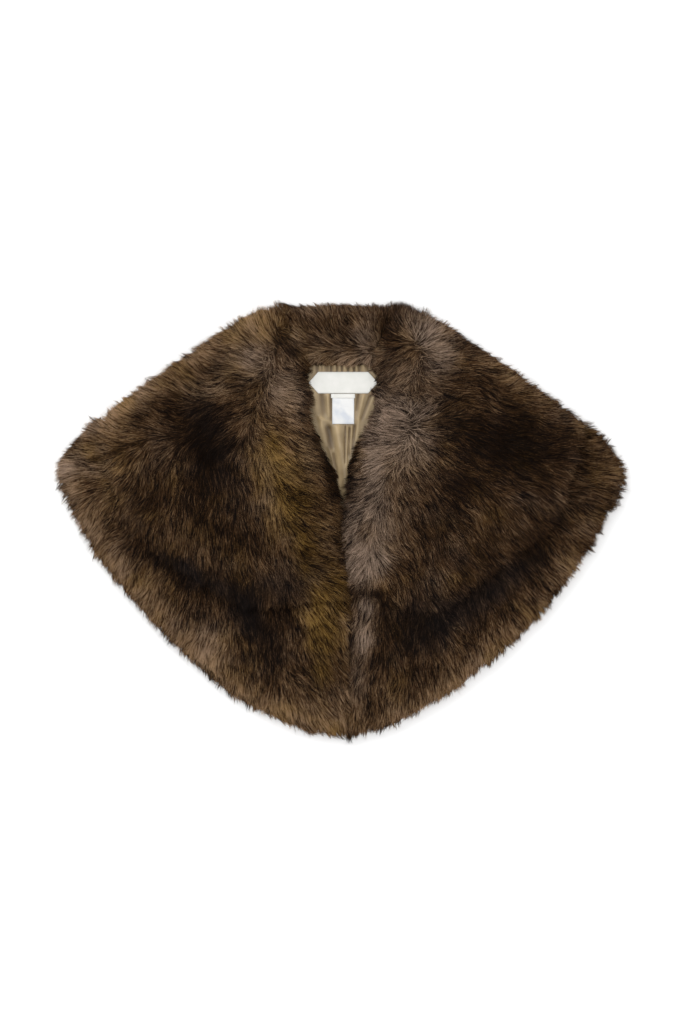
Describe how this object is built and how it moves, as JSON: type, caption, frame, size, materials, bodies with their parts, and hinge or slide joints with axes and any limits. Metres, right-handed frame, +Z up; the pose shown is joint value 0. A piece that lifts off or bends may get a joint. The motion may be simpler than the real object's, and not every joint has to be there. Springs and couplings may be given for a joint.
{
  "type": "fur collar wrap",
  "caption": "Faux fur cape wrap with a wide shawl collar and a tan satin lining, laid flat on its back with the fronts closed below an open neck.",
  "frame": {"origin": "on the surface that the wrap lies on, under the middle of its outline", "axes": "+X across the shoulders to the viewer's right, +Y from the hem to the neck, +Z up from the surface through the layers"},
  "size_m": [0.649, 0.4918, 0.0734],
  "materials": {
    "fur": "long pile faux fur",
    "lining": "satin",
    "label": "woven"
  },
  "bodies": {
    "root": {"collar_fall": "fur", "body_back": "fur", "body_front_left": "fur", "body_front_right": "fur", "collar_left": "fur", "collar_right": "fur", "collar_back": "fur", "back_lining": "lining", "main_label": "label", "care_label": "label", "size_tab": "label"}
  },
  "joints": []
}
